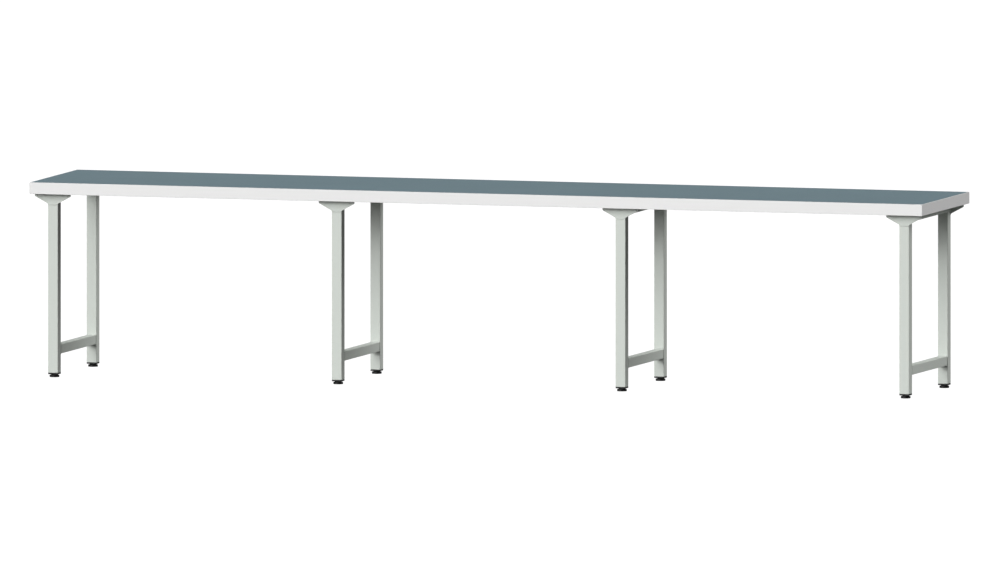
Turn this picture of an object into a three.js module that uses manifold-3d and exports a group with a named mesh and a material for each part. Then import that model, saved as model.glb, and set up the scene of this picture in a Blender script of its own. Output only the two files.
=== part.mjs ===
// A four-metre workbench: a 50 mm covered top on four welded tube trestles, each standing on two
// levelling feet.
// Frame: millimetres, +X to the right along the length, +Y to the back, +Z up. The origin is on the
// floor, under the middle of the top.
import * as THREE from "three";
import { mergeVertices } from "three/addons/utils/BufferGeometryUtils.js";
import Module from "manifold-3d";

const wasm = await Module();
wasm.setup();

// ---------------------------------------------------------------- driving dimensions
const LENGTH = 4000; // top, along X
const DEPTH = 700; // top, along Y
const HEIGHT = 840; // floor to work surface, feet screwed fully in
const TOP_T = 50; // whole top, covering and backing included
const GAP = 0.3; // clearance left between pieces that touch

const LAMINATE_T = 2; // covering
const BACKING_T = 1; // balancing sheet on the underside
const BAND_T = 3; // edge band
const BAND_R = 1.5; // rounding of its outer edges

const TRESTLES = 4;
const TRESTLE_INSET = 92.5; // end of the top to the middle of the end trestle's legs
const LEG = 45; // square tube, outside
const LEG_WALL = 2;
const LEG_R = 3; // outer corner radius
const LEG_Y = 283.75; // centre of a leg from the middle of the top

const RAIL = 40; // lower rail, square tube
const RAIL_R = 2.5;
const RAIL_Z = 118; // centre height

const PLATE_W = 160; // head plate across, along X
const SHEET = 2; // its sheet thickness
const BEND_R = 2.7; // outer bend radius
const EAR_TIP = 11.5; // height of the ear's vertical end edge
const EAR_TAPER = 42.5; // below the top's underside, where the ear has narrowed to the leg's width
const EAR_FOOT = 47.5; // below the top's underside, the ear's bottom edge

const ANGLE = 30; // head angle, both flanges
const ANGLE_T = 3;
const ANGLE_ROOT = 4; // fillet between its flanges
const ANGLE_TOE = 1.5; // rounding of the flange ends

const FLANGE_LOW = 12.9; // insert flange, from here
const FLANGE_HIGH = 19.3; // to here
const TUBE_LOW = 19.6; // bottom end of the leg tube
const PLUG_HIGH = 48; // top of the plug inside the leg

const THREAD_R = 5; // M10
const BORE_R = 5.45; // thread bore of the insert
const STEM_LOW = 3.3; // underside of the stem's head, inside the pad
const STEM_HEAD_HIGH = 8;
const STEM_HEAD_R = 8.5;
const STEM_HIGH = 62;

const PAD_R = 21;
const HUB_R = 14.5;
const HUB_HIGH = 12.5;

const SCREW_X = 4; // fixing screws, from the trestle's middle towards the bench's nearer end
const SCREW_Y = 170; // and from the middle of the top
const SCREW_R = 3;
const SCREW_HIGH = 822;

// ---------------------------------------------------------------- materials
const mat = (color, roughness, metalness) =>
  new THREE.MeshStandardMaterial({ color, roughness, metalness });
const COVERING = () => mat(0x6f8088, 0.55, 0);
const WHITE_EDGE = () => mat(0xe8e8e6, 0.45, 0);
const BOARD = () => mat(0xb89a72, 0.85, 0);
const BACKING = () => mat(0xdcdcd8, 0.6, 0);
const PAINT = () => mat(0xcfd5ce, 0.5, 0.1);
const BLACK = () => mat(0x18191a, 0.6, 0);
const STEEL = () => mat(0xa9abad, 0.35, 0.9);

// ---------------------------------------------------------------- solids
const bare = (g) => {
  const p = g.index ? g.toNonIndexed() : g.clone();
  p.deleteAttribute("normal");
  p.deleteAttribute("uv");
  return mergeVertices(p, 1e-4);
};
const solid = (g) => {
  const m = bare(g);
  return new wasm.Manifold(
    new wasm.Mesh({
      numProp: 3,
      vertProperties: new Float32Array(m.attributes.position.array),
      triVerts: new Uint32Array(m.index.array),
    }),
  );
};
const geometryOf = (s) => {
  const m = s.getMesh();
  const v = new Float32Array(m.numVert * 3);
  for (let i = 0; i < m.numVert; i++)
    v.set(m.vertProperties.subarray(i * m.numProp, i * m.numProp + 3), i * 3);
  const g = new THREE.BufferGeometry();
  g.setAttribute("position", new THREE.BufferAttribute(v, 3));
  g.setIndex(new THREE.BufferAttribute(new Uint32Array(m.triVerts), 1));
  g.computeVertexNormals();
  return g;
};
const join = (first, ...rest) => rest.reduce((a, b) => a.add(b), first);
const cut = (first, ...rest) => rest.reduce((a, b) => a.subtract(b), first);

// a box between two corners
const box = (x0, y0, z0, x1, y1, z1) =>
  new THREE.BoxGeometry(x1 - x0, y1 - y0, z1 - z0).translate(
    (x0 + x1) / 2,
    (y0 + y1) / 2,
    (z0 + z1) / 2,
  );
// a round bar along Z
const rod = (r, z0, z1, x = 0, y = 0, sides = 12) =>
  new THREE.CylinderGeometry(r, r, z1 - z0, sides)
    .rotateX(Math.PI / 2)
    .translate(x, y, (z0 + z1) / 2);
// a turned piece about Z, from [radius, height] points
const turned = (points, sides) =>
  new THREE.LatheGeometry(
    points.map(([r, z]) => new THREE.Vector2(r, z)),
    sides,
  ).rotateX(Math.PI / 2);

const roundedSquare = (path, half, r) => {
  path.moveTo(half, -half + r);
  path.lineTo(half, half - r);
  path.absarc(half - r, half - r, r, 0, Math.PI / 2, false);
  path.lineTo(-half + r, half);
  path.absarc(-half + r, half - r, r, Math.PI / 2, Math.PI, false);
  path.lineTo(-half, -half + r);
  path.absarc(-half + r, -half + r, r, Math.PI, 1.5 * Math.PI, false);
  path.lineTo(half - r, -half);
  path.absarc(half - r, -half + r, r, 1.5 * Math.PI, 2 * Math.PI, false);
  return path;
};
// a square tube along Z from 0
const squareTube = (side, wall, r, length) => {
  const shape = roundedSquare(new THREE.Shape(), side / 2, r);
  shape.holes.push(
    roundedSquare(new THREE.Path(), side / 2 - wall, r - wall),
  );
  return new THREE.ExtrudeGeometry(shape, {
    depth: length,
    bevelEnabled: false,
    curveSegments: 2,
  });
};
// a profile of [y, z] points, run along X from x0 to x1
const alongX = (points, x0, x1) =>
  new THREE.ExtrudeGeometry(
    new THREE.Shape(points.map(([a, b]) => new THREE.Vector2(a, b))),
    { depth: x1 - x0, bevelEnabled: false },
  )
    .applyMatrix4(
      new THREE.Matrix4().makeBasis(
        new THREE.Vector3(0, 1, 0),
        new THREE.Vector3(0, 0, 1),
        new THREE.Vector3(1, 0, 0),
      ),
    )
    .translate(x0, 0, 0);
// a profile of [x, z] points, run along Y from y0 to y1
const alongY = (points, y0, y1) =>
  new THREE.ExtrudeGeometry(
    new THREE.Shape(points.map(([a, b]) => new THREE.Vector2(a, b))),
    { depth: y1 - y0, bevelEnabled: false },
  )
    .applyMatrix4(
      new THREE.Matrix4().makeBasis(
        new THREE.Vector3(1, 0, 0),
        new THREE.Vector3(0, 0, 1),
        new THREE.Vector3(0, -1, 0),
      ),
    )
    .translate(0, y1, 0);

// points of a quarter arc
const arc = (cx, cy, r, from, to, n = 3) =>
  Array.from({ length: n + 1 }, (_, i) => {
    const a = ((from + ((to - from) * i) / n) * Math.PI) / 180;
    return [cx + r * Math.cos(a), cy + r * Math.sin(a)];
  });

const bench = new THREE.Group();
const put = (parent, name, geometry, material) => {
  const mesh = new THREE.Mesh(geometry, material);
  mesh.name = name;
  parent.add(mesh);
  return mesh;
};

// ---------------------------------------------------------------- the top
const UNDER = HEIGHT - TOP_T;
const inX = LENGTH / 2 - BAND_T - GAP;
const inY = DEPTH / 2 - BAND_T - GAP;
const pitch = (LENGTH - 2 * TRESTLE_INSET) / (TRESTLES - 1);
const trestleX = Array.from(
  { length: TRESTLES },
  (_, i) => -LENGTH / 2 + TRESTLE_INSET + i * pitch,
);
// -1 on the two left trestles and +1 on the two right ones: the way to the bench's nearer end
const outward = (x) => Math.sign(x);
const screwHoles = (r, z0, z1) =>
  trestleX.flatMap((x) =>
    [-SCREW_Y, SCREW_Y].map((y) =>
      solid(rod(r, z0, z1, x + outward(x) * SCREW_X, y)),
    ),
  );

const top = new THREE.Group();
bench.add(top);

put(
  top,
  "top_board_core",
  geometryOf(
    cut(
      solid(
        box(
          -inX,
          -inY,
          UNDER + BACKING_T + GAP,
          inX,
          inY,
          HEIGHT - LAMINATE_T - GAP,
        ),
      ),
      ...screwHoles(SCREW_R + 0.45, UNDER - 5, SCREW_HIGH + 1),
    ),
  ),
  BOARD(),
);
put(
  top,
  "top_laminate",
  box(-inX, -inY, HEIGHT - LAMINATE_T, inX, inY, HEIGHT),
  COVERING(),
);
put(
  top,
  "backing_laminate",
  geometryOf(
    cut(
      solid(box(-inX, -inY, UNDER, inX, inY, UNDER + BACKING_T)),
      ...screwHoles(SCREW_R + 0.45, UNDER - 5, UNDER + 5),
    ),
  ),
  BACKING(),
);

// The band's section: a strip of BAND_T by TOP_T whose outer side is at a and whose two outer edges
// are rounded. side is +1 or -1, the way the outer face looks.
const bandSection = (a, side) => {
  const pts = [
    [a - side * BAND_T, UNDER],
    ...arc(
      a - side * BAND_R,
      UNDER + BAND_R,
      BAND_R,
      -90,
      side > 0 ? 0 : -180,
    ),
    ...arc(
      a - side * BAND_R,
      HEIGHT - BAND_R,
      BAND_R,
      side > 0 ? 0 : 180,
      90,
    ),
    [a - side * BAND_T, HEIGHT],
  ];
  return side > 0 ? pts : pts.reverse();
};
put(
  top,
  "edge_band_front",
  alongX(bandSection(-DEPTH / 2, -1), -LENGTH / 2, LENGTH / 2),
  WHITE_EDGE(),
);
put(
  top,
  "edge_band_rear",
  alongX(bandSection(DEPTH / 2, 1), -LENGTH / 2, LENGTH / 2),
  WHITE_EDGE(),
);
put(
  top,
  "edge_band_left",
  alongY(bandSection(-LENGTH / 2, -1), -inY, inY),
  WHITE_EDGE(),
);
put(
  top,
  "edge_band_right",
  alongY(bandSection(LENGTH / 2, 1), -inY, inY),
  WHITE_EDGE(),
);

// ---------------------------------------------------------------- pieces of a trestle
const legTop = UNDER - SHEET - GAP;
const legGeometry = squareTube(LEG, LEG_WALL, LEG_R, legTop - TUBE_LOW);

const railHalf = LEG_Y - LEG / 2 - GAP;
const railGeometry = squareTube(RAIL, LEG_WALL, RAIL_R, 2 * railHalf)
  .translate(0, 0, -railHalf)
  .rotateX(Math.PI / 2);

// The head plate is one folded sheet: a flat web under the top, and at each end an ear bent down
// over the leg's outer face, tapering to the leg's width.
const earIn = LEG_Y + LEG / 2 + GAP;
const earOut = earIn + SHEET;
const w = PLATE_W / 2;
const foldY = earOut - BEND_R;
const foldZ = UNDER - BEND_R;
const plateSection = [
  [-earOut, UNDER - EAR_FOOT],
  ...arc(-foldY, foldZ, BEND_R, 180, 90),
  ...arc(foldY, foldZ, BEND_R, 90, 0),
  [earOut, UNDER - EAR_FOOT],
  [earIn, UNDER - EAR_FOOT],
  ...arc(foldY, foldZ, BEND_R - SHEET, 0, 90),
  ...arc(-foldY, foldZ, BEND_R - SHEET, 90, 180),
  [-earIn, UNDER - EAR_FOOT],
];
const earOutline = [
  [-w, UNDER - EAR_TIP],
  [-LEG / 2, UNDER - EAR_TAPER],
  [-LEG / 2, UNDER - EAR_FOOT - 1],
  [LEG / 2, UNDER - EAR_FOOT - 1],
  [LEG / 2, UNDER - EAR_TAPER],
  [w, UNDER - EAR_TIP],
  [w, UNDER + 1],
  [-w, UNDER + 1],
];
const headPlate = (side) =>
  geometryOf(
    cut(
      solid(alongX(plateSection, -w - 1, w + 1)).intersect(
        solid(alongY(earOutline, -earOut - 1, earOut + 1)),
      ),
      ...[-SCREW_Y, SCREW_Y].map((y) =>
        solid(rod(SCREW_R + 0.5, UNDER - 10, UNDER + 10, side * SCREW_X, y)),
      ),
    ),
  );

// The head angle runs under the web from leg to leg, its upright flange flush with the legs' sides
// that look to the bench's nearer end.
const headAngle = (side) => {
  const x = LEG / 2;
  const section = [
    [x, legTop - ANGLE],
    [x, legTop],
    [x - ANGLE, legTop],
    ...arc(
      x - ANGLE + ANGLE_TOE,
      legTop - ANGLE_T + ANGLE_TOE,
      ANGLE_TOE,
      180,
      270,
    ),
    ...arc(
      x - ANGLE_T - ANGLE_ROOT,
      legTop - ANGLE_T - ANGLE_ROOT,
      ANGLE_ROOT,
      90,
      0,
    ),
    ...arc(
      x - ANGLE_T + ANGLE_TOE,
      legTop - ANGLE + ANGLE_TOE,
      ANGLE_TOE,
      180,
      270,
    ),
  ].map(([a, b]) => [side * a, b]);
  return geometryOf(
    cut(
      solid(alongY(section, -railHalf, railHalf)),
      ...[-SCREW_Y, SCREW_Y].map((y) =>
        solid(rod(SCREW_R + 0.5, UNDER - 20, UNDER + 10, side * SCREW_X, y)),
      ),
    ),
  );
};
const heads = { "-1": [headPlate(-1), headAngle(-1)], 1: [headPlate(1), headAngle(1)] };

// The insert closes the leg's bottom end: a flange as wide as the tube, and a plug with the thread
// bore right through.
const plugHalf = LEG / 2 - LEG_WALL - GAP;
const insertGeometry = geometryOf(
  cut(
    join(
      solid(
        new THREE.ExtrudeGeometry(
          roundedSquare(new THREE.Shape(), LEG / 2, LEG_R),
          {
            depth: FLANGE_HIGH - FLANGE_LOW,
            bevelEnabled: false,
            curveSegments: 3,
          },
        ).translate(0, 0, FLANGE_LOW),
      ),
      solid(
        new THREE.ExtrudeGeometry(
          roundedSquare(new THREE.Shape(), plugHalf, 1.2),
          {
            depth: PLUG_HIGH - FLANGE_HIGH + 1,
            bevelEnabled: false,
            curveSegments: 2,
          },
        ).translate(0, 0, FLANGE_HIGH - 1),
      ),
    ),
    solid(rod(BORE_R, 0, 100)),
  ),
);

// The stem: an M10 thread with a flat head held inside the pad.
const stemGeometry = turned(
  [
    [0, STEM_LOW],
    [STEM_HEAD_R, STEM_LOW],
    [STEM_HEAD_R, STEM_HEAD_HIGH],
    [THREAD_R, STEM_HEAD_HIGH],
    [THREAD_R, STEM_HIGH - 1],
    [THREAD_R - 1, STEM_HIGH],
    [0, STEM_HIGH],
  ],
  12,
);

// The pad: flat underneath, a rounded rim, and a hub that closes round the stem's head.
const padGeometry = turned(
  [
    [0, 0],
    [PAD_R - 1.3, 0],
    [PAD_R - 0.4, 0.6],
    [PAD_R, 1.8],
    [PAD_R, 8],
    [PAD_R - 0.9, 9.2],
    [HUB_R + 1.6, 10.6],
    [HUB_R, HUB_HIGH],
    [BORE_R, HUB_HIGH],
    [BORE_R, STEM_HEAD_HIGH + GAP],
    [STEM_HEAD_R + 0.6, STEM_HEAD_HIGH + GAP],
    [STEM_HEAD_R + 0.6, STEM_LOW - GAP],
    [0, STEM_LOW - GAP],
  ],
  20,
);

// The fixing screw: hexagon head with a washer face under the angle's level flange, shank up
// through flange and web into the board.
const seat = legTop - ANGLE_T - GAP;
const screwGeometry = geometryOf(
  join(
    solid(rod(5.77, seat - 5, seat - 1, 0, 0, 6)),
    solid(rod(6.5, seat - 1.5, seat)),
    solid(
      turned(
        [
          [0, seat - 1.5],
          [SCREW_R, seat - 1.5],
          [SCREW_R, SCREW_HIGH - 6],
          [0, SCREW_HIGH],
        ],
        12,
      ),
    ),
  ),
);

// ---------------------------------------------------------------- the four trestles
trestleX.forEach((x, i) => {
  const n = i + 1;
  const trestle = new THREE.Group();
  trestle.position.x = x;
  bench.add(trestle);

  const [plateGeometry, angleGeometry] = heads[outward(x)];
  put(trestle, "head_plate_" + n, plateGeometry, PAINT());
  put(trestle, "head_angle_" + n, angleGeometry, PAINT());
  put(trestle, "lower_rail_" + n, railGeometry, PAINT()).position.z = RAIL_Z;

  for (const [end, side] of [
    ["front", -1],
    ["rear", 1],
  ]) {
    const at = side * LEG_Y;
    put(
      trestle,
      "leg_" + end + "_" + n,
      legGeometry,
      PAINT(),
    ).position.set(0, at, TUBE_LOW);
    put(
      trestle,
      "insert_" + end + "_" + n,
      insertGeometry,
      BLACK(),
    ).position.y = at;
    put(trestle, "stem_" + end + "_" + n, stemGeometry, STEEL()).position.y =
      at;
    put(trestle, "pad_" + end + "_" + n, padGeometry, BLACK()).position.y = at;
    put(
      trestle,
      "top_screw_" + end + "_" + n,
      screwGeometry,
      STEEL(),
    ).position.set(outward(x) * SCREW_X, side * SCREW_Y, 0);
  }
});

export default bench;
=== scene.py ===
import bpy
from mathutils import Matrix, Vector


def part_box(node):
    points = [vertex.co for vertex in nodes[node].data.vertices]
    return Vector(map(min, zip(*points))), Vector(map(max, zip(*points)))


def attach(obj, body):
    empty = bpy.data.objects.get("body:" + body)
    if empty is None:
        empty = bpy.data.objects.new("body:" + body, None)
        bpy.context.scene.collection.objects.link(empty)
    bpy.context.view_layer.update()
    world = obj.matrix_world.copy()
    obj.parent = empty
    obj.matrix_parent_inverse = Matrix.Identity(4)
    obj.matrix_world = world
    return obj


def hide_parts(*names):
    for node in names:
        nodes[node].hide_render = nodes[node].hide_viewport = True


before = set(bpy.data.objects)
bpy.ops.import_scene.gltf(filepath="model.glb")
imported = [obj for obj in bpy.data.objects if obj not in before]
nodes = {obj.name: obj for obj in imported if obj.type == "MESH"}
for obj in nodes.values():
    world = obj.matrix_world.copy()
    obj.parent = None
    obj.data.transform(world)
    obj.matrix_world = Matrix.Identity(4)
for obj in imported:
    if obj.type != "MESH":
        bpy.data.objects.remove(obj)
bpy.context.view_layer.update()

import math

import bmesh
import bpy
from mathutils import Matrix, Vector

MM = 0.001
scene = bpy.context.scene

# ------------------------------------------------------------------ places, read from the frame
N = 4
ENDS = (("front", -1), ("rear", 1))
top_lo, top_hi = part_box("top_laminate")
core_lo, core_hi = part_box("top_board_core")
fr_lo, fr_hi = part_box("edge_band_front")
rr_lo, rr_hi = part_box("edge_band_rear")
HALF_L = fr_hi.x
HALF_D = rr_hi.y
TOP_Z = fr_hi.z
UNDER_Z = fr_lo.z
BAND = fr_hi.y - fr_lo.y


def centre(node):
    lo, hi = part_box(node)
    return (lo + hi) / 2


# ------------------------------------------------------------------ materials
def new_mat(name):
    m = bpy.data.materials.new(name)
    m.use_nodes = True
    nt = m.node_tree
    nt.nodes.clear()
    out = nt.nodes.new("ShaderNodeOutputMaterial")
    b = nt.nodes.new("ShaderNodeBsdfPrincipled")
    nt.links.new(b.outputs["BSDF"], out.inputs["Surface"])
    return m, nt, b


def coords(nt, scale=(1, 1, 1)):
    t = nt.nodes.new("ShaderNodeTexCoord")
    mp = nt.nodes.new("ShaderNodeMapping")
    mp.inputs["Scale"].default_value = scale
    nt.links.new(t.outputs["Object"], mp.inputs["Vector"])
    return mp.outputs["Vector"]


def noise(nt, vec, scale, detail=3.0, rough=0.55):
    n = nt.nodes.new("ShaderNodeTexNoise")
    n.inputs["Scale"].default_value = scale
    n.inputs["Detail"].default_value = detail
    n.inputs["Roughness"].default_value = rough
    nt.links.new(vec, n.inputs["Vector"])
    return n.outputs["Fac"]


def ramp(nt, fac, stops):
    r = nt.nodes.new("ShaderNodeValToRGB")
    el = r.color_ramp.elements
    while len(el) < len(stops):
        el.new(0.5)
    for e, (p, c) in zip(el, stops):
        e.position = p
        e.color = (*c, 1.0)
    nt.links.new(fac, r.inputs["Fac"])
    return r.outputs["Color"]


def mix(nt, a, b, fac, mode="MIX"):
    m = nt.nodes.new("ShaderNodeMix")
    m.data_type = "RGBA"
    m.blend_type = mode
    for sock, v in ((m.inputs[0], fac), (m.inputs[6], a), (m.inputs[7], b)):
        if isinstance(v, (int, float)):
            sock.default_value = v
        elif isinstance(v, tuple):
            sock.default_value = (*v, 1.0)
        else:
            nt.links.new(v, sock)
    return m.outputs[2]


def to_range(nt, fac, lo, hi):
    m = nt.nodes.new("ShaderNodeMapRange")
    m.inputs["To Min"].default_value = lo
    m.inputs["To Max"].default_value = hi
    nt.links.new(fac, m.inputs["Value"])
    return m.outputs["Result"]


def add(nt, a, b, wa=1.0, wb=1.0):
    m1 = nt.nodes.new("ShaderNodeMath")
    m1.operation = "MULTIPLY"
    m1.inputs[1].default_value = wa
    nt.links.new(a, m1.inputs[0])
    m2 = nt.nodes.new("ShaderNodeMath")
    m2.operation = "MULTIPLY_ADD"
    m2.inputs[1].default_value = wb
    nt.links.new(b, m2.inputs[0])
    nt.links.new(m1.outputs[0], m2.inputs[2])
    return m2.outputs[0]


def bump(nt, bsdf, height, strength, distance):
    b = nt.nodes.new("ShaderNodeBump")
    b.inputs["Strength"].default_value = strength
    b.inputs["Distance"].default_value = distance
    nt.links.new(height, b.inputs["Height"])
    nt.links.new(b.outputs["Normal"], bsdf.inputs["Normal"])


def scaled(c, k):
    return tuple(min(1.0, v * k) for v in c)


PAINT = (0.540, 0.574, 0.535)  # light grey powder coat, a little green
EDGE = (0.720, 0.720, 0.718)
COVER = (0.1285, 0.1930, 0.2205)


def powder_coat():
    m, nt, b = new_mat("powder_coat")
    v = coords(nt)
    big = noise(nt, v, 2.2, 2.0)
    fleck = noise(nt, v, 420.0, 2.0)
    c = ramp(nt, big, [(0.3, scaled(PAINT, 0.992)), (0.7, scaled(PAINT, 1.008))])
    tint = ramp(nt, fleck, [(0.35, (0.965, 0.968, 0.965)), (0.65, (1.0, 1.0, 1.0))])
    nt.links.new(mix(nt, c, tint, 1.0, "MULTIPLY"), b.inputs["Base Color"])
    nt.links.new(to_range(nt, noise(nt, v, 60.0), 0.40, 0.52), b.inputs["Roughness"])
    b.inputs["Specular IOR Level"].default_value = 0.42
    peel = add(nt, noise(nt, v, 520.0, 1.5), noise(nt, v, 190.0, 1.0), 0.6, 0.8)
    bump(nt, b, peel, 0.22, 0.00012)
    return m


def edge_band():
    m, nt, b = new_mat("edge_band_plastic")
    v = coords(nt)
    c = ramp(
        nt,
        noise(nt, v, 1.7, 2.0),
        [(0.3, scaled(EDGE, 0.996)), (0.7, scaled(EDGE, 1.004))],
    )
    grain = ramp(
        nt,
        noise(nt, v, 700.0, 2.0),
        [(0.35, (0.972, 0.972, 0.97)), (0.65, (1.0, 1.0, 1.0))],
    )
    nt.links.new(mix(nt, c, grain, 1.0, "MULTIPLY"), b.inputs["Base Color"])
    nt.links.new(to_range(nt, noise(nt, v, 90.0), 0.36, 0.48), b.inputs["Roughness"])
    b.inputs["Specular IOR Level"].default_value = 0.4
    pearl = add(nt, noise(nt, v, 900.0, 1.0), noise(nt, v, 260.0, 1.0), 0.7, 0.5)
    bump(nt, b, pearl, 0.18, 0.00010)
    return m


def covering():
    m, nt, b = new_mat("covering_laminate")
    v = coords(nt)
    cloud = ramp(
        nt,
        noise(nt, v, 3.0, 3.0),
        [(0.3, scaled(COVER, 0.975)), (0.7, scaled(COVER, 1.02))],
    )
    pale = ramp(
        nt, noise(nt, v, 620.0, 2.0, 0.6), [(0.60, (0, 0, 0)), (0.70, (1, 1, 1))]
    )
    dark = ramp(
        nt, noise(nt, v, 480.0, 2.0, 0.6), [(0.30, (1, 1, 1)), (0.40, (0, 0, 0))]
    )
    c = mix(nt, cloud, scaled(COVER, 1.35), 0.0)
    c_mix = c.node
    nt.links.new(to_range(nt, pale, 0.0, 0.45), c_mix.inputs[0])
    d = mix(nt, c, scaled(COVER, 0.62), 0.0)
    nt.links.new(to_range(nt, dark, 0.0, 0.40), d.node.inputs[0])
    nt.links.new(d, b.inputs["Base Color"])
    nt.links.new(to_range(nt, noise(nt, v, 140.0), 0.50, 0.62), b.inputs["Roughness"])
    b.inputs["Specular IOR Level"].default_value = 0.30
    pearl = add(nt, noise(nt, v, 1100.0, 1.5), noise(nt, v, 350.0, 1.0), 0.7, 0.5)
    bump(nt, b, pearl, 0.25, 0.00010)
    return m


def backing():
    m, nt, b = new_mat("backing_sheet")
    v = coords(nt)
    c = ramp(
        nt,
        noise(nt, v, 5.0, 4.0),
        [(0.3, (0.66, 0.655, 0.63)), (0.7, (0.70, 0.695, 0.675))],
    )
    fibre = ramp(
        nt,
        noise(nt, coords(nt, (1.0, 6.0, 1.0)), 160.0, 3.0),
        [(0.4, (0.95, 0.95, 0.945)), (0.62, (1, 1, 1))],
    )
    nt.links.new(mix(nt, c, fibre, 1.0, "MULTIPLY"), b.inputs["Base Color"])
    nt.links.new(to_range(nt, noise(nt, v, 40.0), 0.62, 0.78), b.inputs["Roughness"])
    bump(nt, b, noise(nt, v, 650.0, 2.0), 0.2, 0.00008)
    return m


def particle_board():
    m, nt, b = new_mat("particle_board")
    v = coords(nt)
    vo = nt.nodes.new("ShaderNodeTexVoronoi")
    vo.inputs["Scale"].default_value = 420.0
    nt.links.new(v, vo.inputs["Vector"])
    c = ramp(
        nt,
        vo.outputs["Distance"],
        [(0.0, (0.30, 0.19, 0.10)), (0.35, (0.46, 0.32, 0.18)), (0.8, (0.56, 0.42, 0.26))],
    )
    n = ramp(nt, noise(nt, v, 900.0, 3.0), [(0.35, (0.75, 0.72, 0.68)), (0.65, (1, 1, 1))])
    nt.links.new(mix(nt, c, n, 1.0, "MULTIPLY"), b.inputs["Base Color"])
    nt.links.new(to_range(nt, noise(nt, v, 200.0), 0.8, 0.95), b.inputs["Roughness"])
    bump(nt, b, noise(nt, v, 500.0, 3.0), 0.5, 0.0003)
    return m


def black_plastic(name, base, rough_lo, rough_hi, grain):
    m, nt, b = new_mat(name)
    v = coords(nt)
    c = ramp(
        nt,
        noise(nt, v, 120.0, 3.0),
        [(0.3, scaled(base, 0.85)), (0.7, scaled(base, 1.2))],
    )
    nt.links.new(c, b.inputs["Base Color"])
    nt.links.new(
        to_range(nt, noise(nt, v, 300.0), rough_lo, rough_hi), b.inputs["Roughness"]
    )
    b.inputs["Specular IOR Level"].default_value = 0.32
    bump(nt, b, noise(nt, v, grain, 2.0), 0.3, 0.00008)
    return m


def zinc(name, tint, scratch=(1.0, 1.0, 1.0)):
    m, nt, b = new_mat(name)
    v = coords(nt, scratch)
    c = ramp(
        nt,
        noise(nt, v, 260.0, 4.0),
        [
            (0.25, scaled(tint, 0.82)),
            (0.5, tint),
            (0.8, (tint[0] * 0.97, tint[1] * 1.0, tint[2] * 1.06)),
        ],
    )
    nt.links.new(c, b.inputs["Base Color"])
    b.inputs["Metallic"].default_value = 1.0
    nt.links.new(to_range(nt, noise(nt, v, 700.0, 3.0), 0.26, 0.44), b.inputs["Roughness"])
    bump(nt, b, noise(nt, v, 1500.0, 2.0), 0.12, 0.00005)
    return m


M_PAINT = powder_coat()
M_EDGE = edge_band()
M_COVER = covering()
M_BACK = backing()
M_CORE = particle_board()
M_INSERT = black_plastic("insert_plastic", (0.0088, 0.0091, 0.0094), 0.50, 0.64, 1400.0)
M_PAD = black_plastic("pad_plastic", (0.0055, 0.0057, 0.0059), 0.40, 0.54, 1000.0)
M_STEM = zinc("zinc_thread", (0.60, 0.605, 0.61), (1.0, 1.0, 2.5))
M_SCREW = zinc("zinc_screw", (0.62, 0.615, 0.60))


# ------------------------------------------------------------------ mesh helpers
def make(
    name, verts, faces, material, body, stands_for=(), at=(0, 0, 0), angle=32, flats=True
):
    me = bpy.data.meshes.new(name)
    me.from_pydata([tuple(v) for v in verts], [], faces)
    bm = bmesh.new()
    bm.from_mesh(me)
    bmesh.ops.recalc_face_normals(bm, faces=bm.faces)
    bm.to_mesh(me)
    bm.free()
    return place(name, me, material, body, stands_for, at, angle, flats)


def place(name, me, material, body, stands_for=(), at=(0, 0, 0), angle=32, flats=True):
    me.materials.clear()
    me.materials.append(material)
    me.shade_smooth()
    me.set_sharp_from_angle(angle=math.radians(angle))
    me.update()
    o = bpy.data.objects.new(name, me)
    scene.collection.objects.link(o)
    o.location = at
    if flats:  # the shading of flat faces stays flat right up to their rounded edges
        w = o.modifiers.new("flat_faces", "WEIGHTED_NORMAL")
        w.mode = "FACE_AREA"
        w.weight = 50
        w.keep_sharp = True
    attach(o, body)
    if stands_for:
        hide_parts(*stands_for)
    return o


def from_bm(name, bm):
    bmesh.ops.recalc_face_normals(bm, faces=bm.faces)
    me = bpy.data.meshes.new(name)
    bm.to_mesh(me)
    bm.free()
    return me


def rounded_square(half, r, seg=8):
    """Points round a square of that half width with corner radius r, the same count for every r."""
    pts = []
    for k in range(4):
        a0 = k * math.pi / 2
        cx = (half - r) * (1 if k in (0, 3) else -1)
        cy = (half - r) * (1 if k in (0, 1) else -1)
        for i in range(seg + 1):
            a = a0 + (math.pi / 2) * i / seg
            pts.append((cx + r * math.cos(a), cy + r * math.sin(a)))
    return pts


def stack(rings, closed=False, caps=True):
    """Vertices and faces of rings of equal point counts, joined one to the next."""
    n = len(rings[0])
    verts = [p for r in rings for p in r]
    faces = []
    m = len(rings)
    for i in range(m if closed else m - 1):
        a, b = i * n, ((i + 1) % m) * n
        for j in range(n):
            k = (j + 1) % n
            faces.append((a + j, a + k, b + k, b + j))
    if caps and not closed:
        faces.append(tuple(range(n - 1, -1, -1)))
        faces.append(tuple((m - 1) * n + j for j in range(n)))
    return verts, faces


def lift(pts, z):
    return [(x, y, z) for x, y in pts]


def square_tube(side, wall, r, length, burr=0.35 * MM, seg=8):
    """A square tube along Z from 0, its ends deburred."""
    h, w = side / 2, wall
    ri = max(r - w, 0.6 * MM)
    inner = lambda d: rounded_square(h - w + d, ri + d, seg)
    outer = lambda d: rounded_square(h + d, r + d, seg)
    b = burr
    return stack(
        [
            lift(inner(0), b),
            lift(inner(b), 0),
            lift(outer(-b), 0),
            lift(outer(0), b),
            lift(outer(0), length - b),
            lift(outer(-b), length),
            lift(inner(b), length),
            lift(inner(0), length - b),
        ],
        closed=True,
    )


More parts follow.
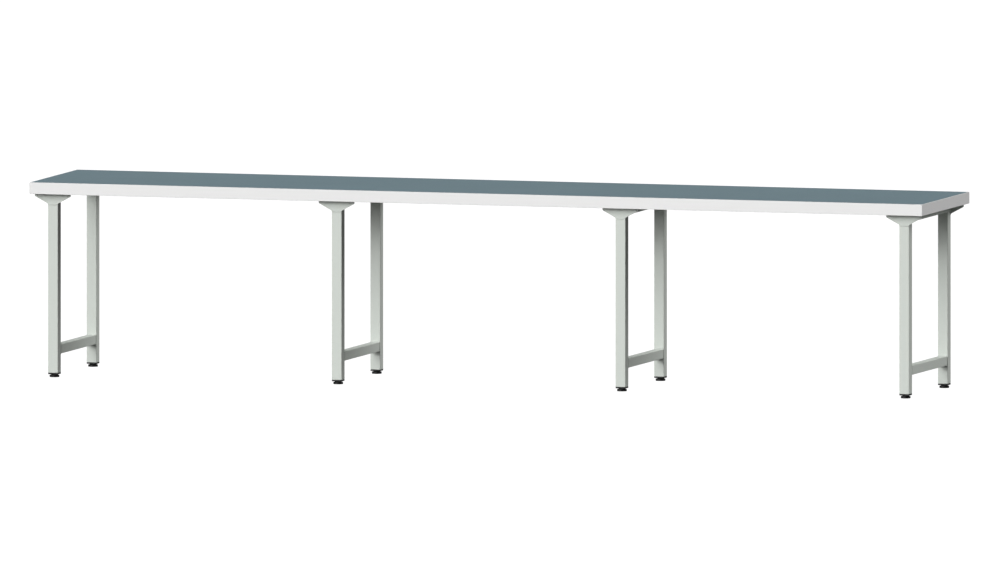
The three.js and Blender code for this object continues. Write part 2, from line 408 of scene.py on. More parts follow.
def lathe(profile, seg, grip=None):
    """A turned solid about Z. The profile is [radius, z] points from the axis to the axis. grip(radius, z, angle) moves a point outwards."""
    verts, faces, rows = [], [], []
    for r, z in profile:
        if r < 1e-7:
            rows.append([len(verts)])
            verts.append((0, 0, z))
        else:
            row = []
            for i in range(seg):
                a = 2 * math.pi * i / seg
                rr = r + (grip(r, z, a) if grip else 0.0)
                row.append(len(verts))
                verts.append((rr * math.cos(a), rr * math.sin(a), z))
            rows.append(row)
    for a, b in zip(rows, rows[1:]):
        for i in range(seg):
            j = (i + 1) % seg
            if len(a) == 1:
                faces.append((a[0], b[i], b[j]))
            elif len(b) == 1:
                faces.append((a[i], b[0], a[j]))
            else:
                faces.append((a[i], b[i], b[j], a[j]))
    return verts, faces


def arc(cx, cz, r, a0, a1, n):
    return [
        (
            cx + r * math.cos(math.radians(a0 + (a1 - a0) * i / n)),
            cz + r * math.sin(math.radians(a0 + (a1 - a0) * i / n)),
        )
        for i in range(n + 1)
    ]


# ------------------------------------------------------------------ the top
nodes["top_board_core"].data.materials.clear()
nodes["top_board_core"].data.materials.append(M_CORE)
nodes["backing_laminate"].data.materials.clear()
nodes["backing_laminate"].data.materials.append(M_BACK)


def sheet_with_arris(half_x, half_y, z0, z1, r, seg=3):
    """A flat sheet whose top edges are eased with radius r."""
    rings = [[(sx * half_x, sy * half_y, z0) for sx, sy in ((-1, -1), (1, -1), (1, 1), (-1, 1))]]
    for i in range(seg + 1):
        a = math.radians(90 * i / seg)
        d = r * (1 - math.cos(a))
        z = z1 - r + r * math.sin(a)
        rings.append(
            [
                (sx * (half_x - d), sy * (half_y - d), z)
                for sx, sy in ((-1, -1), (1, -1), (1, 1), (-1, 1))
            ]
        )
    return stack(rings)


inner_x = HALF_L - BAND - 0.05 * MM
inner_y = HALF_D - BAND - 0.05 * MM
v, f = sheet_with_arris(inner_x, inner_y, top_lo.z, TOP_Z, 0.25 * MM)
make("covering", v, f, M_COVER, "bench", ["top_laminate"])


def band_section(outer, side, r=1.5 * MM, seg=6):
    """A band's section as (across, z) points: flat inside, both outer arrises rounded."""
    inner = outer - side * BAND
    pts = [(inner, UNDER_Z)]
    for i in range(seg + 1):
        a = math.radians(-90 + 90 * i / seg)
        pts.append((outer - side * r + side * r * math.cos(a), UNDER_Z + r + r * math.sin(a)))
    for i in range(seg + 1):
        a = math.radians(90 * i / seg)
        pts.append((outer - side * r + side * r * math.cos(a), TOP_Z - r + r * math.sin(a)))
    pts.append((inner, TOP_Z))
    return pts


def band(name, outer, side, along_x, half, stand, end_round):
    sec = band_section(outer, side)
    inside = half - 4 * MM
    stations = [-half] + [-inside + 2 * inside * i / 16 for i in range(17)] + [half]
    rings = [
        [((s, c, z) if along_x else (c, s, z)) for c, z in sec] for s in stations
    ]
    v, f = stack(rings)
    me = bpy.data.meshes.new(name)
    me.from_pydata(v, [], f)
    bm = bmesh.new()
    bm.from_mesh(me)
    bmesh.ops.recalc_face_normals(bm, faces=bm.faces)
    k = 0 if along_x else 1
    edges = [
        e
        for e in bm.edges
        if all(abs(abs(x.co[k]) - half) < 1e-6 for x in e.verts)
        and all(abs(x.co[1 - k] - (outer - side * BAND)) > 1e-6 for x in e.verts)
    ]
    bmesh.ops.bevel(
        bm,
        geom=edges,
        offset=end_round,
        segments=4,
        profile=0.5,
        affect="EDGES",
        clamp_overlap=True,
    )
    bmesh.ops.remove_doubles(bm, verts=bm.verts, dist=4e-6)
    bmesh.ops.dissolve_degenerate(bm, edges=bm.edges, dist=1e-6)
    bmesh.ops.recalc_face_normals(bm, faces=bm.faces)
    bm.to_mesh(me)
    bm.free()
    return place(name, me, M_EDGE, "bench", [stand])


band("band_front", -HALF_D, -1, True, HALF_L, "edge_band_front", 1.4 * MM)
band("band_rear", HALF_D, 1, True, HALF_L, "edge_band_rear", 1.4 * MM)
band("band_left", -HALF_L, -1, False, inner_y, "edge_band_left", 0.15 * MM)
band("band_right", HALF_L, 1, False, inner_y, "edge_band_right", 0.15 * MM)

# ------------------------------------------------------------------ legs and lower rails
leg_lo, leg_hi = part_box("leg_front_1")
LEG = leg_hi.x - leg_lo.x
WALL = 2 * MM
v, f = square_tube(LEG, WALL, 3 * MM, leg_hi.z - leg_lo.z)
for n in range(1, N + 1):
    for end, s in ENDS:
        c = centre(f"leg_{end}_{n}")
        make(
            f"tube_leg_{end}_{n}",
            v,
            f,
            M_PAINT,
            "bench",
            [f"leg_{end}_{n}"],
            (c.x, c.y, leg_lo.z),
        )

rail_lo, rail_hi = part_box("lower_rail_1")
RAIL = rail_hi.x - rail_lo.x
LEG_Y = centre("leg_rear_1").y
rail_half = LEG_Y - LEG / 2 - 0.05 * MM
v, f = square_tube(RAIL, WALL, 2.5 * MM, 2 * rail_half)
v = [(x, z - rail_half, y) for x, y, z in v]
for n in range(1, N + 1):
    c = centre(f"lower_rail_{n}")
    make(
        f"tube_rail_{n}",
        v,
        f,
        M_PAINT,
        "bench",
        [f"lower_rail_{n}"],
        (c.x, 0, c.z),
    )


# ------------------------------------------------------------------ head plates and head angles
SHEET = 2 * MM
BEND = 2.7 * MM
hp_lo, hp_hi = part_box("head_plate_1")
PLATE_W = (hp_hi.x - hp_lo.x) / 2
EAR_OUT = hp_hi.y
EAR_IN = EAR_OUT - SHEET
EAR_FOOT = UNDER_Z - hp_lo.z
EAR_TIP = 11.5 * MM
EAR_TAPER = 42.5 * MM
ANGLE = 30 * MM
ANGLE_T = 3 * MM
ROOT = 4 * MM
TOE = 1.5 * MM
ANGLE_TOP = UNDER_Z - SHEET - 0.05 * MM
ANGLE_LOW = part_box("head_angle_1")[0].z


def outward(n):
    """-1 on the two left trestles, +1 on the two right ones: the way to the bench's nearer end."""
    return -1 if n <= N // 2 else 1


def filleted(points, radii, n=6):
    """The polygon with each corner rounded by its own radius."""
    out = []
    m = len(points)
    for i, r in enumerate(radii):
        p = Vector(points[i])
        a = (Vector(points[i - 1]) - p).normalized()
        b = (Vector(points[(i + 1) % m]) - p).normalized()
        if r <= 0:
            out.append(tuple(p))
            continue
        half = a.angle(b) / 2
        d = r / math.tan(half)
        c = p + (a + b).normalized() * (r / math.sin(half))
        s0, s1 = p + a * d - c, p + b * d - c
        a0 = math.atan2(s0.y, s0.x)
        turn = math.atan2(s1.y, s1.x) - a0
        turn = (turn + math.pi) % (2 * math.pi) - math.pi
        for k in range(n + 1):
            t = a0 + turn * k / n
            out.append((c.x + r * math.cos(t), c.y + r * math.sin(t)))
    return out


def plate_strip():
    """The sheet folded over both legs, a little wider than it will be cut."""
    u = UNDER_Z
    fy, fz = EAR_OUT - BEND, UNDER_Z - BEND - 0.03 * MM  # a hair under the backing sheet
    b = 10
    pts = [(-EAR_OUT, u - EAR_FOOT)]
    pts += arc(-fy, fz, BEND, 180, 90, b)
    pts += arc(fy, fz, BEND, 90, 0, b)
    pts += [(EAR_OUT, u - EAR_FOOT), (EAR_IN, u - EAR_FOOT)]
    pts += arc(fy, fz, BEND - SHEET, 0, 90, b)
    pts += arc(-fy, fz, BEND - SHEET, 90, 180, b)
    pts += [(-EAR_IN, u - EAR_FOOT)]
    return stack([[(x, y, z) for y, z in pts] for x in (-PLATE_W - 1 * MM, PLATE_W + 1 * MM)])


def plate_outline():
    """The blank's outline as seen from the front: square shoulders, the taper, and the foot."""
    u = UNDER_Z
    w, h = PLATE_W, LEG / 2
    right = [
        (w, u + 5 * MM),
        (w, u - EAR_TIP),
        (h, u - EAR_TAPER),
        (h, u - EAR_FOOT),
    ]
    radii = [0, 3 * MM, 4 * MM, 2.2 * MM]
    pts = right + [(-x, z) for x, z in reversed(right)]
    rad = radii + radii[::-1]
    pts = filleted(pts, rad)
    return stack([[(x, y, z) for x, z in pts] for y in (-EAR_OUT - 5 * MM, EAR_OUT + 5 * MM)])


def angle_solid(side):
    """The rolled angle: rounded toes, a fillet in the root, a square heel."""
    x, t = LEG / 2, ANGLE_TOP
    low = ANGLE_LOW
    pts = [(x, low), (x, t), (x - ANGLE, t)]
    pts += arc(x - ANGLE + TOE, t - ANGLE_T + TOE, TOE, 180, 270, 6)
    pts += arc(x - ANGLE_T - ROOT, t - ANGLE_T - ROOT, ROOT, 90, 0, 8)
    pts += arc(x - ANGLE_T + TOE, low + TOE, TOE, 180, 270, 6)
    return stack([[(side * a, y, b) for a, b in pts] for y in (-rail_half, rail_half)])


def solid_object(name, vf):
    me = bpy.data.meshes.new(name)
    me.from_pydata(vf[0], [], vf[1])
    bm = bmesh.new()
    bm.from_mesh(me)
    bmesh.ops.recalc_face_normals(bm, faces=bm.faces)
    bm.to_mesh(me)
    bm.free()
    o = bpy.data.objects.new(name, me)
    scene.collection.objects.link(o)
    return o


def boolean(base, others, op):
    """base joined with or cut by the others, as a new mesh. The inputs are removed."""
    for o in others:
        m = base.modifiers.new("b", "BOOLEAN")
        m.operation = op
        m.solver = "EXACT"
        m.object = o
    dg = bpy.context.evaluated_depsgraph_get()
    me = bpy.data.meshes.new_from_object(base.evaluated_get(dg))
    for o in others:
        bpy.data.objects.remove(o)
    base.modifiers.clear()
    base.data = me
    return base


def bevel_sharp(me, width, seg=2, low=40):
    """Eases the edges of a closed mesh that turn by more than low degrees."""
    bm = bmesh.new()
    bm.from_mesh(me)
    bmesh.ops.remove_doubles(bm, verts=bm.verts, dist=1e-7)
    bmesh.ops.dissolve_limit(
        bm, angle_limit=math.radians(0.5), verts=bm.verts, edges=bm.edges
    )
    edges = [
        e
        for e in bm.edges
        if len(e.link_faces) == 2 and math.degrees(e.calc_face_angle(0.0)) > low
    ]
    bmesh.ops.bevel(
        bm,
        geom=edges,
        offset=width,
        segments=seg,
        profile=0.5,
        affect="EDGES",
        clamp_overlap=True,
        miter_outer="ARC",
    )
    bmesh.ops.remove_doubles(bm, verts=bm.verts, dist=4e-6)
    bmesh.ops.dissolve_degenerate(bm, edges=bm.edges, dist=1e-6)
    bmesh.ops.recalc_face_normals(bm, faces=bm.faces)
    bm.to_mesh(me)
    bm.free()
    return me


def cylinder(r, z0, z1, seg, x=0.0, y=0.0):
    rings = [
        [
            (x + r * math.cos(2 * math.pi * i / seg), y + r * math.sin(2 * math.pi * i / seg), z)
            for i in range(seg)
        ]
        for z in (z0, z1)
    ]
    return stack(rings)


SCREW_Y = centre("top_screw_rear_1").y
SCREW_X = abs(centre("top_screw_rear_1").x - centre("leg_rear_1").x)


def screw_holes(side, r):
    return [
        solid_object(
            "hole",
            cylinder(r, UNDER_Z - 40 * MM, UNDER_Z + 10 * MM, 40, side * SCREW_X, y),
        )
        for y in (-SCREW_Y, SCREW_Y)
    ]


plate_mesh, angle_mesh = {}, {}
for side in (-1, 1):
    work = solid_object("plate_work", plate_strip())
    boolean(work, [solid_object("outline", plate_outline())], "INTERSECT")
    boolean(work, screw_holes(side, 3.5 * MM), "DIFFERENCE")
    plate_mesh[side] = bevel_sharp(work.data.copy(), 0.3 * MM)
    bpy.data.objects.remove(work)
    work = solid_object("angle_work", angle_solid(side))
    boolean(work, screw_holes(side, 3.5 * MM), "DIFFERENCE")
    angle_mesh[side] = bevel_sharp(work.data.copy(), 0.3 * MM)
    bpy.data.objects.remove(work)
for n in range(1, N + 1):
    x = centre(f"head_plate_{n}").x
    for name, mesh, node in (
        ("folded_plate", plate_mesh, "head_plate"),
        ("rolled_angle", angle_mesh, "head_angle"),
    ):
        place(
            f"{name}_{n}",
            mesh[outward(n)].copy(),
            M_PAINT,
            "bench",
            [f"{node}_{n}"],
            (x, 0, 0),
        )


# ------------------------------------------------------------------ weld beads
def ripple(d, leg, seed):
    """The leg length of a bead at distance d along it: overlapping ripples, never quite even."""
    s = (d / (1.9 * MM)) % 1.0
    scallop = math.sqrt(max(0.0, 1 - (2 * s - 1) ** 2 * 0.42))
    wander = math.sin(d / (11 * MM) + seed) * 0.05 + math.sin(d / (4.7 * MM) + 2.1 * seed) * 0.03
    return leg * (0.80 + 0.20 * scallop + wander)


def bead(path, leg, seed, closed, arc_n=5, deep=0.25 * MM):
    """A fillet bead. path is a list of (corner point, first direction, second direction); the bead fills the corner between the two."""
    rings = []
    d = 0.0
    prev = None
    for p, u, w in path:
        p, u, w = Vector(p), Vector(u).normalized(), Vector(w).normalized()
        if prev is not None:
            d += (p - prev).length
        prev = p
        e = ripple(d, leg, seed)
        if not closed:  # fade in and out at the two ends
            total = path_length(path)
            e *= 0.35 + 0.65 * min(1.0, min(d, total - d) / (1.6 * MM))
        ring = [p - u * deep - w * deep, p + u * e - w * deep]
        for i in range(arc_n + 1):
            a = math.radians(90 * i / arc_n)
            k = e * (0.74 + 0.26 * abs(math.cos(2 * a)))
            ring.append(p + u * k * math.cos(a) + w * k * math.sin(a))
        ring.append(p + w * e - u * deep)
        rings.append(ring)
    return stack(rings, closed=closed)


def path_length(path):
    return sum((Vector(b[0]) - Vector(a[0])).length for a, b in zip(path, path[1:]))


def dense(path, step, closed):
    """The same path with points no further apart than step."""
    out = []
    m = len(path)
    for i in range(m if closed else m - 1):
        a, b = path[i], path[(i + 1) % m]
        n = max(1, math.ceil((Vector(b[0]) - Vector(a[0])).length / step))
        for k in range(n):
            t = k / n
            out.append(tuple(Vector(x).lerp(Vector(y), t) for x, y in zip(a, b)))
    if not closed:
        out.append(path[-1])
    return out


def runs(path, keep):
    """The stretches of a closed path whose points pass keep."""
    start = next(i for i, p in enumerate(path) if not keep(p))
    path = path[start:] + path[:start]
    out, now = [], []
    for p in path:
        if keep(p):
            now.append(p)
        elif now:
            out.append(now)
            now = []
    if now:
        out.append(now)
    return [r for r in out if len(r) > 4]


def trestle_welds(out_side):
    verts, faces = [], []

    def take(vf):
        base = len(verts)
        verts.extend(vf[0])
        faces.extend(tuple(i + base for i in f) for f in vf[1])

    rail_z = (rail_lo.z + rail_hi.z) / 2
    seg = 6
    outline = rounded_square(RAIL / 2, 2.5 * MM, seg)
    normals = rounded_square(1.0, 1.0, seg)  # a circle: the outline's own normals
    web = UNDER_Z - SHEET
    toe = LEG / 2 - ANGLE  # the level flange's end, towards the bench's middle
    for side in (-1, 1):
        # lower rail to leg, all round
        y = side * (LEG_Y - LEG / 2)
        path = [
            ((x, y, rail_z + z), (nx, 0, nz), (0, -side, 0))
            for (x, z), (nx, nz) in zip(outline, normals)
        ]
        take(bead(dense(path, 0.55 * MM, True), 3.2 * MM, 1.0 + side, True))
        # leg to web, where neither the ear nor the angle covers the seam
        path = [
            ((x, side * LEG_Y + y2, web), (nx, ny, 0), (0, 0, -1))
            for (x, y2), (nx, ny) in zip(
                rounded_square(LEG / 2, 3 * MM, seg), rounded_square(1.0, 1.0, seg)
            )
        ]

        def bare(p):
            (px, _, _), (_, ny, _) = p[0], p[1]
            if ny * side > 0.35:
                return False
            return not (ny * side < -0.35 and px * out_side > toe - 1.5 * MM)

        for i, run in enumerate(runs(dense(path, 0.6 * MM, True), bare)):
            take(bead(run, 3.0 * MM, 3.0 + side + i, False))
        # angle to leg, round the inside of the angle
        path = [((out_side * (LEG / 2 - ANGLE_T), y, ANGLE_LOW + 2 * MM), (-out_side, 0, 0), (0, -side, 0))]
        cx, cz = LEG / 2 - ANGLE_T - ROOT, ANGLE_TOP - ANGLE_T - ROOT
        for i in range(9):
            t = math.radians(90 * i / 8)
            path.append(
                (
                    (out_side * (cx + ROOT * math.cos(t)), y, cz + ROOT * math.sin(t)),
                    (-out_side * math.cos(t), 0, -math.sin(t)),
                    (0, -side, 0),
                )
            )
        path.append(((out_side * (toe + 2 * MM), y, ANGLE_TOP - ANGLE_T), (0, 0, -1), (0, -side, 0)))
        take(bead(dense(path, 0.55 * MM, False), 2.8 * MM, 7.0 + side, False))
        # the ear's bottom edge to the leg's outer face
        z = UNDER_Z - EAR_FOOT
        y = side * (LEG_Y + LEG / 2)
        path = [
            ((x * MM, y, z), (0, 0, -1), (0, side, 0)) for x in (-18.6, 18.6)
        ]
        take(bead(dense(path, 0.55 * MM, False), 2.1 * MM, 5.0 + side, False))
    # stitch welds, angle to web
    for i, y in enumerate((-200, -70, 70, 200)):
        path = [
            ((out_side * LEG / 2, (y + d) * MM, web), (out_side, 0, 0), (0, 0, -1))
            for d in (-14, 14)
        ]
        take(bead(dense(path, 0.6 * MM, False), 2.6 * MM, 9.0 + i, False))
    return verts, faces


weld_shape = {side: trestle_welds(side) for side in (-1, 1)}
for n in range(1, N + 1):
    x = centre(f"head_plate_{n}").x
    v, f = weld_shape[outward(n)]
    make(f"weld_beads_{n}", v, f, M_PAINT, "bench", (), (x, 0, 0), 60, False)


# ------------------------------------------------------------------ fixing screws
sc_lo, sc_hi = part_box("top_screw_front_1")
HEAD_TOP = ANGLE_TOP - ANGLE_T - 0.02 * MM  # washer face, up against the level flange


def screw_mesh():
    """Hexagon head with a pressed washer face. The head's corners are chamfered and its end is slightly dished."""
    low = sc_lo.z
    hexagon = solid_object(
        "hexagon",
        stack(
            [
                [
                    (5.77 * MM * math.cos(math.radians(60 * i)), 5.77 * MM * math.sin(math.radians(60 * i)), z)
                    for i in range(6)
                ]
                for z in (low, low + 5.2 * MM)
            ]
        ),
    )
    cone = lathe(
        [
            (0, low - 0.0 * MM + 0.35 * MM),
            (3.2 * MM, low + 0.35 * MM),
            (3.8 * MM, low + 0.02 * MM),
            (4.75 * MM, low + 0.02 * MM),
            (6.4 * MM, low + 0.95 * MM),
            (6.4 * MM, low + 4.0 * MM),
            (5.9 * MM, low + 4.6 * MM),
            (0, low + 4.6 * MM),
        ],
        72,
    )
    head = boolean(hexagon, [solid_object("cone", cone)], "INTERSECT")
    washer = lathe(
        [(0, low + 4.0 * MM), (5.6 * MM, low + 4.0 * MM)]
        + [(6.0 * MM, low + 4.05 * MM), (6.42 * MM, low + 4.35 * MM), (6.5 * MM, low + 4.6 * MM)]
        + [(6.5 * MM, HEAD_TOP - 0.15 * MM), (6.35 * MM, HEAD_TOP), (3.0 * MM, HEAD_TOP)]
        + [(3.0 * MM, sc_hi.z - 6 * MM), (0.3 * MM, sc_hi.z - 0.2 * MM), (0, sc_hi.z - 0.1 * MM)],
        72,
    )
    boolean(head, [solid_object("washer", washer)], "UNION")
    me = head.data.copy()
    bpy.data.objects.remove(head)
    return bevel_sharp(me, 0.12 * MM, 2, 38)


screw = screw_mesh()
for n in range(1, N + 1):
    for end, s in ENDS:
        c = centre(f"top_screw_{end}_{n}")
        place(
            f"hex_screw_{end}_{n}",
            screw.copy(),
            M_SCREW,
            "bench",
            [f"top_screw_{end}_{n}"],
            (c.x, c.y, 0),
        )

# ------------------------------------------------------------------ inserts
in_lo, in_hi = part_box("insert_front_1")
FL_LO = in_lo.z
FL_HI = leg_lo.z - 0.05 * MM
BORE = 5.45 * MM


def insert_mesh():
    """The flange with eased edges and a boss round the bore, and the barbed plug above it."""
    seg = 8
    h = LEG / 2
    r = 3 * MM
    e = 0.6 * MM
    rings = []
    # from the boss, out under the flange, up its side, in to the plug and up
    # even steps round the circle, as many as the rounded square has points
    turns = [
        math.radians(90) * (k + (j + 0.5) / (seg + 1)) for k in range(4) for j in range(seg + 1)
    ]
    circle = lambda rad, z: [(rad * math.cos(a), rad * math.sin(a), z) for a in turns]
    rings.append(circle(BORE, in_hi.z - 0.6 * MM))
    rings.append(circle(BORE, FL_LO + 0.7 * MM))
    rings.append(circle(BORE + 0.7 * MM, FL_LO))
    rings.append(circle(8.6 * MM, FL_LO))
    rings.append(circle(9.0 * MM, FL_LO + 0.4 * MM))
    rings.append(circle(9.4 * MM, FL_LO + 1.3 * MM))
    rings.append(lift(rounded_square(h - 4.2 * MM, 1.6 * MM, seg), FL_LO + 1.3 * MM))
    rings.append(lift(rounded_square(h - 3.6 * MM, 2.0 * MM, seg), FL_LO + 0.3 * MM))
    rings.append(lift(rounded_square(h - 3.1 * MM, 2.0 * MM, seg), FL_LO + 0.0 * MM))
    for i in range(5):
        a = math.radians(90 * i / 4)
        d = e * (1 - math.sin(a))
        rings.append(
            lift(rounded_square(h - d, r - d, seg), FL_LO + e * (1 - math.cos(a)))
        )
    rings.append(lift(rounded_square(h, r, seg), FL_HI - 0.3 * MM))
    rings.append(lift(rounded_square(h - 0.3 * MM, r - 0.3 * MM, seg), FL_HI))
    p = h - WALL - 0.3 * MM
    rings.append(lift(rounded_square(p - 0.3 * MM, 1.0 * MM, seg), FL_HI))
    z = FL_HI
    top = in_hi.z
    for k in range(3):  # barbs that grip the tube
        z0 = FL_HI + (4 + 8 * k) * MM
        rings.append(lift(rounded_square(p - 0.3 * MM, 1.0 * MM, seg), z0))
        rings.append(lift(rounded_square(p, 1.2 * MM, seg), z0 + 0.5 * MM))
        rings.append(lift(rounded_square(p - 0.3 * MM, 1.0 * MM, seg), z0 + 4.5 * MM))
    rings.append(lift(rounded_square(p - 0.3 * MM, 1.0 * MM, seg), top - 2 * MM))
    rings.append(lift(rounded_square(p - 1.6 * MM, 0.8 * MM, seg), top))
    rings.append(circle(BORE + 0.6 * MM, top))
    verts, faces = stack(rings, closed=True)
    return verts, faces


v, f = insert_mesh()
for n in range(1, N + 1):
    for end, s in ENDS:
        c = centre(f"insert_{end}_{n}")
        make(
            f"tube_insert_{end}_{n}",
            v,
            f,
            M_INSERT,
            "bench",
            [f"insert_{end}_{n}"],
            (c.x, c.y, 0),
            35,
        )

# ------------------------------------------------------------------ levelling feet
st_lo, st_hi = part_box("stem_front_1")
pd_lo, pd_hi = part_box("pad_front_1")
PITCH = 1.5 * MM


def stem_mesh():
    """An M10 thread with rounded crests, a chamfered end, and the flat head inside the pad."""
    seg = 32
    major, minor = 4.98 * MM, 4.12 * MM
    z0, z1 = 9.5 * MM, st_hi.z
    rows = int((z1 - z0) / PITCH * 8)
    verts, faces = [], []

    def radius(z, a):
        ph = ((z - z0) / PITCH - a / (2 * math.pi)) % 1.0
        tri = abs(2 * ph - 1)  # 1 at the root, 0 at the crest
        t = min(1.0, max(0.0, (tri - 0.13) / 0.62))
        rad = major - (major - minor) * t
        fade_in = min(1.0, max(0.0, (z - z0) / (1.6 * PITCH)))
        rad = rad * fade_in + (minor + 0.45 * MM) * (1 - fade_in)
        cap = major - max(0.0, z - (z1 - 1.2 * MM)) * 0.9
        return min(rad, cap)

    # the head, from the axis out and up to the shank
    head = [
        (0, st_lo.z),
        (7.9 * MM, st_lo.z),
        (8.4 * MM, st_lo.z + 0.5 * MM),
        (8.4 * MM, st_lo.z + 4.2 * MM),
        (7.9 * MM, st_lo.z + 4.6 * MM),
        (4.9 * MM, st_lo.z + 4.6 * MM),
        (4.57 * MM, st_lo.z + 5.0 * MM),
    ]
    prev = None
    for r, z in head:
        if r == 0:
            prev = [len(verts)]
            verts.append((0, 0, z))
            continue
        row = [len(verts) + i for i in range(seg)]
        verts += [
            (r * math.cos(2 * math.pi * i / seg), r * math.sin(2 * math.pi * i / seg), z)
            for i in range(seg)
        ]
        for i in range(seg):
            j = (i + 1) % seg
            faces.append(
                (prev[0], row[i], row[j]) if len(prev) == 1 else (prev[i], row[i], row[j], prev[j])
            )
        prev = row
    for k in range(rows + 1):
        z = z0 + (z1 - z0) * k / rows
        row = [len(verts) + i for i in range(seg)]
        for i in range(seg):
            a = 2 * math.pi * i / seg
            r = radius(z, a)
            verts.append((r * math.cos(a), r * math.sin(a), z))
        for i in range(seg):
            j = (i + 1) % seg
            faces.append((prev[i], row[i], row[j], prev[j]))
        prev = row
    verts.append((0, 0, z1))
    for i in range(seg):
        faces.append((prev[i], len(verts) - 1, prev[(i + 1) % seg]))
    return verts, faces


def pad_profile():
    R = 21 * MM
    hub = 14.5 * MM
    top = pd_hi.z
    pts = [(0, 0.0)]
    # two shallow rings in the sole
    for c in (9.0, 14.0):
        pts += [((c - 0.9) * MM, 0.0), ((c - 0.5) * MM, 0.5 * MM), ((c + 0.5) * MM, 0.5 * MM), ((c + 0.9) * MM, 0.0)]
    pts += [(19.2 * MM, 0.0)]
    pts += arc(R - 1.6 * MM, 1.6 * MM, 1.6 * MM, -84, 0, 8)
    pts += [(R, 3.4 * MM), (R, 5.6 * MM)]
    pts += arc(R - 1.5 * MM, 7.6 * MM, 1.5 * MM, 0, 70, 7)
    # concave sweep up to the hub
    p0, p1, p2 = (R - 1.6 * MM, 9.15 * MM), (hub + 1.2 * MM, 9.7 * MM), (hub, top - 1.2 * MM)
    for i in range(1, 9):
        t = i / 8
        pts.append(
            tuple(
                (1 - t) ** 2 * a + 2 * t * (1 - t) * b + t * t * c
                for a, b, c in zip(p0, p1, p2)
            )
        )
    pts += [(hub, top - 0.6 * MM)]
    pts += arc(hub - 0.5 * MM, top - 0.5 * MM, 0.5 * MM, 0, 90, 4)
    pts += [(10.2 * MM, top), (9.8 * MM, top - 0.5 * MM), (7.2 * MM, top - 0.5 * MM), (6.8 * MM, top)]
    pts += [(5.9 * MM, top), (5.45 * MM, top - 0.45 * MM), (5.45 * MM, 8.3 * MM)]
    pts += [(9.1 * MM, 8.3 * MM), (9.1 * MM, 3.0 * MM), (0, 3.0 * MM)]
    return pts


def pad_grip(r, z, a):
    """Shallow flutes up the rim and round the hub, for the fingers."""
    if r > 20.9 * MM:
        k = min(1.0, max(0.0, (z - 2.2 * MM) / (1.2 * MM)), max(0.0, (8.2 * MM - z) / (1.0 * MM)))
        return -0.45 * MM * k * max(0.0, math.cos(18 * a)) ** 2
    if r < 13.6 * MM or z < 9.8 * MM or z > pd_hi.z - 0.35 * MM:
        return 0.0
    k = min(1.0, (z - 9.8 * MM) / (1.0 * MM))
    return -0.75 * MM * k * max(0.0, math.cos(18 * a)) ** 2


v1, f1 = stem_mesh()
v2, f2 = lathe(pad_profile(), 144, pad_grip)
for n in range(1, N + 1):
    for end, s in ENDS:
        c = centre(f"stem_{end}_{n}")
        make(
            f"threaded_stem_{end}_{n}",
            v1,
            f1,
            M_STEM,
            f"stem_{end}_{n}",
            [f"stem_{end}_{n}"],
            (c.x, c.y, 0),
            50,
            False,
        )
        make(
            f"moulded_pad_{end}_{n}",
            v2,
            f2,
            M_PAD,
            f"pad_{end}_{n}",
            [f"pad_{end}_{n}"],
            (c.x, c.y, 0),
            35,
            False,
        )

# ------------------------------------------------------------------ floor, light and camera
floor_me = bpy.data.meshes.new("floor")
floor_me.from_pydata(
    [(-90, -90, 0), (90, -90, 0), (90, 90, 0), (-90, 90, 0)], [], [(0, 1, 2, 3)]
)
floor = bpy.data.objects.new("floor", floor_me)
scene.collection.objects.link(floor)
floor.location.z = -0.0262  # below the feet even when they are screwed right out
fm = bpy.data.materials.new("floor_white")
fm.use_nodes = True
nt = fm.node_tree
nt.nodes.clear()
out = nt.nodes.new("ShaderNodeOutputMaterial")
dif = nt.nodes.new("ShaderNodeBsdfDiffuse")
dif.inputs["Color"].default_value = (0.10, 0.10, 0.10, 1)
em = nt.nodes.new("ShaderNodeEmission")
em.inputs["Color"].default_value = (1, 1, 1, 1)
em.inputs["Strength"].default_value = 0.97
ad = nt.nodes.new("ShaderNodeAddShader")
nt.links.new(dif.outputs[0], ad.inputs[0])
nt.links.new(em.outputs[0], ad.inputs[1])
# seen through from underneath, so that the bench's underside can be looked at
under = nt.nodes.new("ShaderNodeBsdfTransparent")
side_of = nt.nodes.new("ShaderNodeNewGeometry")
one_sided = nt.nodes.new("ShaderNodeMixShader")
nt.links.new(side_of.outputs["Backfacing"], one_sided.inputs[0])
nt.links.new(ad.outputs[0], one_sided.inputs[1])
nt.links.new(under.outputs[0], one_sided.inputs[2])
nt.links.new(one_sided.outputs[0], out.inputs["Surface"])
floor_me.materials.append(fm)
floor.visible_diffuse = False
floor.visible_glossy = False
floor.visible_shadow = False

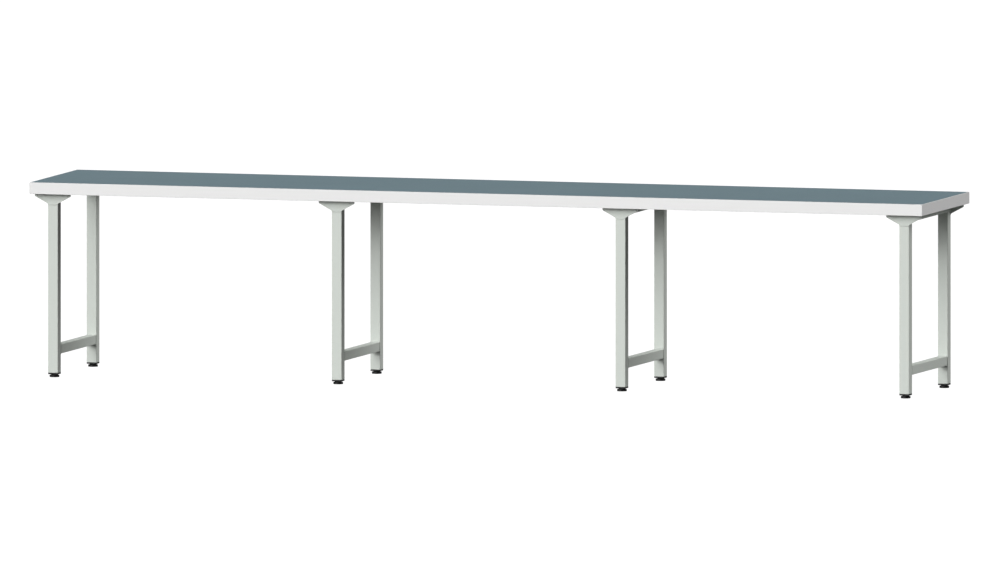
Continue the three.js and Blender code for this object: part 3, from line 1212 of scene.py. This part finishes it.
world = bpy.data.worlds.new("studio")
scene.world = world
world.use_nodes = True
wt = world.node_tree
wt.nodes.clear()
wo = wt.nodes.new("ShaderNodeOutputWorld")
lp = wt.nodes.new("ShaderNodeLightPath")
seen = wt.nodes.new("ShaderNodeBackground")
seen.inputs["Color"].default_value = (1, 1, 1, 1)
seen.inputs["Strength"].default_value = 1.0
fill = wt.nodes.new("ShaderNodeBackground")
fill.inputs["Color"].default_value = (1, 1, 1, 1)
fill.inputs["Strength"].default_value = 0.088
mx = wt.nodes.new("ShaderNodeMixShader")
wt.links.new(lp.outputs["Is Camera Ray"], mx.inputs[0])
wt.links.new(fill.outputs[0], mx.inputs[1])
wt.links.new(seen.outputs[0], mx.inputs[2])
wt.links.new(mx.outputs[0], wo.inputs["Surface"])


def soft_sun(name, azimuth, elevation, strength, angle, colour=(1, 1, 1)):
    """A broad, distant soft light. azimuth is counted from +X towards +Y, and is where the light stands."""
    d = bpy.data.lights.new(name, "SUN")
    d.energy = strength
    d.angle = math.radians(angle)
    d.color = colour
    o = bpy.data.objects.new(name, d)
    scene.collection.objects.link(o)
    a, e = math.radians(azimuth), math.radians(elevation)
    to = Vector((math.cos(a) * math.cos(e), math.sin(a) * math.cos(e), math.sin(e)))
    o.rotation_mode = "QUATERNION"
    o.rotation_quaternion = to.to_track_quat("Z", "Y")
    o.location = to * 10
    return o


soft_sun("key_front_left", 244, 21, 0.83, 46)
soft_sun("key_low", 244, 13, 1.24, 18)
soft_sun("key_high", 244, 27, 0.96, 30)
soft_sun("front_high", 270, 38, 0.60, 46)
soft_sun("side_left", 210, 25, 0.35, 46)
soft_sun("fill_back_right", 31, 31, 2.16, 46)
# two lights for the sides that face away: matt only, so that they leave no glare on the covering
soft_sun("back_left", 112, 20, 1.2, 46).visible_glossy = False
soft_sun("floor_bounce", 0, -90, 0.42, 30).visible_glossy = False

CAM_AZ, CAM_EL = math.radians(16.95), math.radians(4.708)
back = Vector(
    (
        math.sin(CAM_AZ) * math.cos(CAM_EL),
        -math.cos(CAM_AZ) * math.cos(CAM_EL),
        math.sin(CAM_EL),
    )
)
right = Vector((math.cos(CAM_AZ), math.sin(CAM_AZ), 0))
up = back.cross(right)
cam_data = bpy.data.cameras.new("camera")
cam_data.type = "ORTHO"
cam_data.ortho_scale = 4.287
cam_data.clip_start = 0.1
cam_data.clip_end = 300
cam = bpy.data.objects.new("camera", cam_data)
scene.collection.objects.link(cam)
m = Matrix((right, up, back)).transposed().to_4x4()
m.translation = right * 0.00263 + up * 0.43022 + back * 14
cam.matrix_world = m
scene.camera = cam

scene.view_settings.view_transform = "Standard"
scene.view_settings.look = "None"

bpy.context.view_layer.update()
